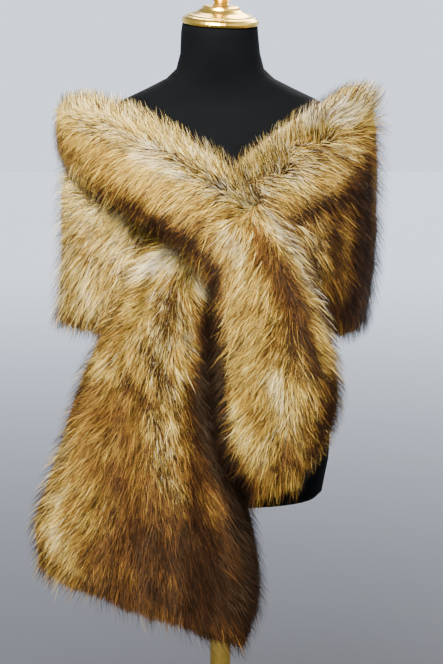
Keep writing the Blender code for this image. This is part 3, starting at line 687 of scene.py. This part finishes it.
def grow(pile, seed):
    """One stretch of pile as a joined mesh of tapered ribbons."""
    rng = np.random.default_rng(seed)
    tufts = laid_tufts(pile, rng)
    count = pile.strands
    at, angle, _ = scattered(pile, count, rng)
    place = skin_point(TABLES[pile.run], at, angle)
    tuft = np.array([tufts.tree.find(point)[1] for point in place])
    across = rim(angle)[0]
    verge = np.abs(across) > VERGE
    guard = rng.random(count) < np.where(verge, GUARD_VERGE, 1) * GUARD_SHARE

    rise = strand_heights(tufts.rise[tuft], guard, verge, rng)
    lay = tufts.lay[tuft] * rng.uniform(*HAIR_LAY, count)
    lay += GUARD_LAY * guard * rng.random(count)
    stray = rng.normal(0, HAIR_SWAY, count) * np.where(guard, GUARD_SWAY, 1)
    sway = tufts.sway[tuft] + stray
    twist = rng.normal(0, 1, count)
    arc, normal = strand_arcs(pile, at, angle, rise, lay, sway, twist)
    pull = TUFT_PULL * rng.uniform(*PULL_RANGE, count) * ~guard
    arc += (tufts.arc[:, tuft] - arc) * (pull[None, :, None] * ROWS[:, None, None] ** 2)

    tones = strand_tones(pile.run, at, across, tuft, tufts, guard, verge, rng)
    shades = ROW_SHADES[:, None] * rng.uniform(*HAIR_SHADE, count)
    width = STRAND_WIDTH * rng.uniform(*HAIR_WIDTH, count)
    width *= np.where(guard, GUARD_WIDTH, 1.0)
    roll = rng.normal(0, STRAND_ROLL, count)[:, None]
    lean = unit(arc[-1] - arc[1])
    flat = unit(np.cross(lean, normal))
    broad = (flat * np.cos(roll) + np.cross(lean, flat) * np.sin(roll)) * width[:, None] / 2
    return ribbons(pile.name, arc, broad, normal, tones, shades)


def ribbons(name, arc, broad, normal, tones, shades):
    """Each strand is a long kite: a hidden root, two middle points and a tip."""
    count = arc.shape[1]
    points = np.stack([arc[0], arc[1] + broad, arc[2], arc[1] - broad], 1)
    rows = [0, 1, 2, 1]
    sides = TONE_STEP * np.array([0.0, 0.5, 0.0, -0.5])
    places = np.stack([tones[rows].T + sides, shades[rows].T], 2)
    mesh = bpy.data.meshes.new(name)
    mesh.vertices.add(count * 4)
    mesh.vertices.foreach_set("co", points.astype(np.float32).ravel())
    mesh.loops.add(count * 4)
    mesh.loops.foreach_set("vertex_index", np.arange(count * 4, dtype=np.int32))
    mesh.polygons.add(count)
    mesh.polygons.foreach_set("loop_start", np.arange(0, count * 4, 4, dtype=np.int32))
    mesh.update(calc_edges=True)
    mesh.shade_smooth()
    layer = mesh.uv_layers.new(name=PILE_MAP)
    layer.uv.foreach_set("vector", places.astype(np.float32).ravel())
    tangents = unit(np.stack([arc[1] - arc[0], arc[2] - arc[0], arc[2] - arc[1]]))
    faces = unit(np.cross(tangents, np.broadcast_to(broad, tangents.shape)))
    soft = normal - tangents * (tangents * normal).sum(2, keepdims=True)
    faces *= np.where((faces * normal).sum(2, keepdims=True) < 0, -1, 1)
    soft = unit(SOFTNESS * unit(soft) + (1 - SOFTNESS) * faces)
    mesh.normals_split_custom_set_from_vertices(soft[rows].transpose(1, 0, 2).reshape(-1, 3))
    return linked(bpy.data.objects.new(name, mesh))


def linked(piece):
    bpy.context.scene.collection.objects.link(piece)
    return piece


# ---- backing ------------------------------------------------------------
BACKING_THICKNESS = 0.002
BACKING_STEP = 0.2          # stations between two rows
BACKING_COLUMNS = 24


def grid_piece(name, rows, closed):
    """An open or tube-shaped sheet through rows of points, made 2 mm thick."""
    mesh = bpy.data.meshes.new(name)
    count = len(rows[0])
    points = [tuple(point) for row in rows for point in row]
    faces = []
    for r in range(len(rows) - 1):
        for k in range(count if closed else count - 1):
            a, b = r * count + k, r * count + (k + 1) % count
            faces.append((a, b, b + count, a + count))
    mesh.from_pydata(points, [], faces)
    mesh.shade_smooth()
    piece = linked(bpy.data.objects.new(name, mesh))
    shell = piece.modifiers.new("thickness", "SOLIDIFY")
    shell.thickness = BACKING_THICKNESS
    shell.offset = 0.0
    return piece


def backing(name, pile):
    end = min(pile.end, BACKING_END[pile.run])
    stations = np.linspace(pile.start, end, int((end - pile.start) / BACKING_STEP) + 1)
    rows = []
    for at in stations:
        if pile.folded:
            angle = np.linspace(0, 2 * math.pi, BACKING_COLUMNS * 2, endpoint=False)
        else:
            angle = np.arccos(np.linspace(1, -1, BACKING_COLUMNS))
        rows.append(root_point(pile, np.full_like(angle, at), angle))
    return grid_piece(name, rows, pile.folded)


# ---- materials ----------------------------------------------------------
def linear(*colour):
    """A colour given as sRGB bytes, as Blender's linear numbers."""
    def channel(value):
        value /= 255
        return value / 12.92 if value <= 0.04045 else ((value + 0.055) / 1.055) ** 2.4
    return [channel(value) for value in colour]


def new_material(name, roughness, metallic=0.0):
    made = bpy.data.materials.new(name)
    made.use_nodes = True
    shader = made.node_tree.nodes["Principled BSDF"]
    shader.inputs["Roughness"].default_value = roughness
    shader.inputs["Metallic"].default_value = metallic
    return made, made.node_tree, shader


def add_node(tree, kind, **settings):
    made = tree.nodes.new(kind)
    for key, value in settings.items():
        if key in made.inputs:
            made.inputs[key].default_value = value
        else:
            setattr(made, key, value)
    return made


def add_ramp(tree, low, high, start=0.0, end=1.0):
    """A colour ramp from one colour to another."""
    ramp = add_node(tree, "ShaderNodeValToRGB")
    first, last = ramp.color_ramp.elements
    first.color, first.position = (*low[:3], 1.0), start
    last.color, last.position = (*high[:3], 1.0), end
    return ramp


# From black-brown over gold and cream to grey: position, red, green, blue.
PALETTE = [
    (0.00, 0.005, 0.003, 0.002), (0.12, 0.036, 0.015, 0.006), (0.25, 0.112, 0.043, 0.012),
    (0.38, 0.230, 0.100, 0.020), (0.50, 0.395, 0.210, 0.030), (0.62, 0.650, 0.430, 0.062),
    (0.74, 0.880, 0.640, 0.150), (0.86, 0.960, 0.800, 0.370), (1.00, 0.820, 0.730, 0.520),
]
ROOT_SHADE = (0.24, 0.15, 0.10)     # painted shade: roots darker and redder than the tips, where the pile shades itself


def pile_material():
    made, tree, shader = new_material("fur_pile", 0.42)
    place = add_node(tree, "ShaderNodeUVMap", uv_map=PILE_MAP)
    parts = add_node(tree, "ShaderNodeSeparateXYZ")
    ramp = add_ramp(tree, PALETTE[0][1:], PALETTE[-1][1:])
    for position, *colour in PALETTE[1:-1]:
        ramp.color_ramp.elements.new(position).color = (*colour, 1.0)
    # painted shade along each strand, darkest and reddest at the root
    painted_root_shade = add_ramp(tree, ROOT_SHADE, (1.0, 1.0, 1.0), start=0.2)
    shade = add_node(tree, "ShaderNodeMix", data_type="RGBA", blend_type="MULTIPLY")
    shade.inputs[0].default_value = 1.0
    link = tree.links.new
    link(place.outputs["UV"], parts.inputs[0])
    link(parts.outputs["X"], ramp.inputs["Fac"])
    link(parts.outputs["Y"], painted_root_shade.inputs["Fac"])
    link(ramp.outputs["Color"], shade.inputs[6])
    link(painted_root_shade.outputs["Color"], shade.inputs[7])
    link(shade.outputs[2], shader.inputs["Base Color"])
    shader.inputs["Specular IOR Level"].default_value = 0.08
    shader.inputs["Specular Tint"].default_value = (1.0, 0.66, 0.36, 1.0)
    return made


def knit_material(name, roughness, specular, dark, light, bands, ribs, waver, mottle,
                  detail, relief, depth):
    """Ribbed cloth: ribs to a metre and how they waver, the mottling between two
    colours, and the strength and depth of the ribs."""
    made, tree, shader = new_material(name, roughness)
    place = add_node(tree, "ShaderNodeTexCoord")
    knit = add_node(tree, "ShaderNodeTexWave", Scale=ribs, Distortion=waver)
    knit.bands_direction = bands
    spots = add_node(tree, "ShaderNodeTexNoise", Scale=mottle, Detail=detail)
    ramp = add_ramp(tree, dark, light)
    bump = add_node(tree, "ShaderNodeBump", Strength=relief, Distance=depth)
    link = tree.links.new
    link(place.outputs["Object"], knit.inputs["Vector"])
    link(place.outputs["Object"], spots.inputs["Vector"])
    link(spots.outputs["Fac"], ramp.inputs["Fac"])
    link(ramp.outputs["Color"], shader.inputs["Base Color"])
    link(knit.outputs["Fac"], bump.inputs["Height"])
    link(bump.outputs["Normal"], shader.inputs["Normal"])
    shader.inputs["Specular IOR Level"].default_value = specular
    return made


def backing_material():
    return knit_material("fur_backing", 0.9, specular=0.5, dark=linear(84, 58, 36),
                         light=linear(128, 94, 60), bands="X", ribs=160.0, waver=1.5,
                         mottle=60.0, detail=4.0, relief=0.5, depth=0.0008)


def jersey_material():
    return knit_material("black_jersey", 0.82, specular=0.05, dark=linear(2.5, 2.8, 3.2),
                         light=linear(5, 5.5, 6), bands="Z", ribs=260.0, waver=0.6,
                         mottle=45.0, detail=5.0, relief=0.35, depth=0.0004)


def brass_material():
    made, tree, shader = new_material("brass", 0.22, 1.0)
    place = add_node(tree, "ShaderNodeTexCoord")
    tarnish = add_node(tree, "ShaderNodeTexNoise", Scale=34.0, Detail=6.0)
    ramp = add_ramp(tree, linear(214, 166, 60), linear(243, 206, 100))
    rough = add_node(tree, "ShaderNodeMapRange")
    rough.inputs["To Min"].default_value = 0.14
    rough.inputs["To Max"].default_value = 0.34
    link = tree.links.new
    link(place.outputs["Object"], tarnish.inputs["Vector"])
    link(tarnish.outputs["Fac"], ramp.inputs["Fac"])
    link(tarnish.outputs["Fac"], rough.inputs["Value"])
    link(ramp.outputs["Color"], shader.inputs["Base Color"])
    link(rough.outputs["Result"], shader.inputs["Roughness"])
    return made


# The floor runs from dark grey at the stand, a painted shade that also tones down the key
# light's pool there, to the tone of the sky far off.
FLOOR_SIZE = 60
FLOOR_NEAR = (0.020, 0.0205, 0.028)
FLOOR_FAR = (0.508, 0.577, 0.682)
FLOOR_FADE = (0.5, 11.0)            # metres from the stand


def floor_material():
    made, tree, shader = new_material("floor", 0.8)
    place = add_node(tree, "ShaderNodeTexCoord")
    away = add_node(tree, "ShaderNodeVectorMath", operation="LENGTH")
    fade = add_node(tree, "ShaderNodeMapRange", interpolation_type="SMOOTHSTEP")
    fade.inputs["From Min"].default_value = FLOOR_FADE[0]
    fade.inputs["From Max"].default_value = FLOOR_FADE[1]
    # painted shade near the stand, fading out far off
    ramp = add_ramp(tree, FLOOR_NEAR, FLOOR_FAR)
    link = tree.links.new
    link(place.outputs["Object"], away.inputs[0])
    link(away.outputs["Value"], fade.inputs["Value"])
    link(fade.outputs["Result"], ramp.inputs["Fac"])
    link(ramp.outputs["Color"], shader.inputs["Base Color"])
    return made


# ---- camera, light and floor --------------------------------------------
CAMERA_TARGET = Vector((0.002, 0.0, 0.95))
CAMERA_DISTANCE = 2.42
CAMERA_ELEVATION = math.radians(8)
CAMERA_LENS = 86.75         # a focal length of 1600 pixels, 664 pixels high
HORIZON = (1.25, 1.42, 1.70)        # light of the sky at the horizon and overhead
ZENITH = (0.40, 0.42, 0.45)


def add_camera():
    data = bpy.data.cameras.new("camera")
    data.lens = CAMERA_LENS
    data.sensor_width = 36.0
    camera = linked(bpy.data.objects.new("camera", data))
    away = Vector((0, -math.cos(CAMERA_ELEVATION), math.sin(CAMERA_ELEVATION)))
    camera.location = CAMERA_TARGET + away * CAMERA_DISTANCE
    camera.rotation_euler = (math.pi / 2 - CAMERA_ELEVATION, 0, 0)
    bpy.context.scene.camera = camera


def add_sun(name, turn, height, strength, spread):
    """A soft far light: where it stands (0 in front, 90 on the onlooker's right),
    how high, its strength and its width, angles in degrees."""
    data = bpy.data.lights.new(name, "SUN")
    data.energy = strength
    data.angle = math.radians(spread)
    lamp = linked(bpy.data.objects.new(name, data))
    lamp.rotation_euler = (math.radians(90 - height), 0, math.radians(turn))


def add_softbox(name, place, size, power):
    """A square light above the camera's view, turned to the wrap."""
    data = bpy.data.lights.new(name, "AREA")
    data.size = size
    data.energy = power
    lamp = linked(bpy.data.objects.new(name, data))
    lamp.location = place
    lamp.rotation_euler = (CAMERA_TARGET - lamp.location).to_track_quat("-Z", "Y").to_euler()
    lamp.visible_camera = False


def add_world():
    """A bright band round the horizon, softer light from above."""
    world = bpy.data.worlds.new("studio")
    bpy.context.scene.world = world
    world.use_nodes = True
    tree = world.node_tree
    background = tree.nodes["Background"]
    place = add_node(tree, "ShaderNodeTexCoord")
    parts = add_node(tree, "ShaderNodeSeparateXYZ")
    ramp = add_ramp(tree, HORIZON, ZENITH, start=0.25, end=0.55)
    tree.links.new(place.outputs["Generated"], parts.inputs[0])
    tree.links.new(parts.outputs["Z"], ramp.inputs["Fac"])
    tree.links.new(ramp.outputs["Color"], background.inputs["Color"])


def add_floor():
    bpy.ops.mesh.primitive_plane_add(size=FLOOR_SIZE)
    floor = bpy.context.object
    floor.name = "floor"
    floor.data.materials.append(floor_material())


def add_studio():
    add_camera()
    add_world()
    add_floor()
    add_softbox("key", (-0.30, -1.35, 2.45), 0.9, 222)
    add_sun("fill", -20, 30, 1.8, 40)
    add_sun("side", 70, 40, 0.8, 60)
    add_sun("back", 165, 45, 5.5, 40)


# ---- build --------------------------------------------------------------
FACET_GAP = 0.00002         # corners of a solid's facets this near are joined


def smoothing(name):
    """A modifier's tree: joins a solid's facets and shades them as one skin."""
    tree = bpy.data.node_groups.new(name, "GeometryNodeTree")
    tree.interface.new_socket("Geometry", in_out="INPUT", socket_type="NodeSocketGeometry")
    tree.interface.new_socket("Geometry", in_out="OUTPUT", socket_type="NodeSocketGeometry")
    start = add_node(tree, "NodeGroupInput")
    end = add_node(tree, "NodeGroupOutput")
    joined = add_node(tree, "GeometryNodeMergeByDistance", Distance=FACET_GAP)
    smooth = add_node(tree, "GeometryNodeSetShadeSmooth")
    link = tree.links.new
    link(start.outputs[0], joined.inputs["Geometry"])
    link(joined.outputs[0], smooth.inputs["Geometry"])
    link(smooth.outputs[0], end.inputs[0])
    return tree


def build_form():
    jersey = jersey_material()
    brass = brass_material()
    smooth = smoothing("smooth_skin")
    for name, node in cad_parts.items():
        if name.startswith("fur_"):
            continue
        node.data.materials.clear()
        if name == "form_torso":
            node.data.materials.append(jersey)
            node.modifiers.new("smooth", "NODES").node_group = smooth
        else:
            node.data.materials.append(brass)


# Each stretch's cloth that shows, cut flat: its width (all round where it is
# folded double), its length, its area where it isn't a rectangle, how it is held.
Cut = namedtuple("Cut", "width length area held")


def build_stole():
    knit = backing_material()
    fur = pile_material()
    for seed, pile in enumerate(PILES):
        stretch = pile.name.replace("pile_", "")
        strands = grow(pile, seed + 1)
        strands.data.materials.append(fur)
        shell = backing("backing_" + stretch, pile)
        shell.data.materials.append(knit)
        for piece in (strands, shell):
            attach(piece, "root")
        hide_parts("fur_" + stretch)


build_form()
build_stole()
add_studio()
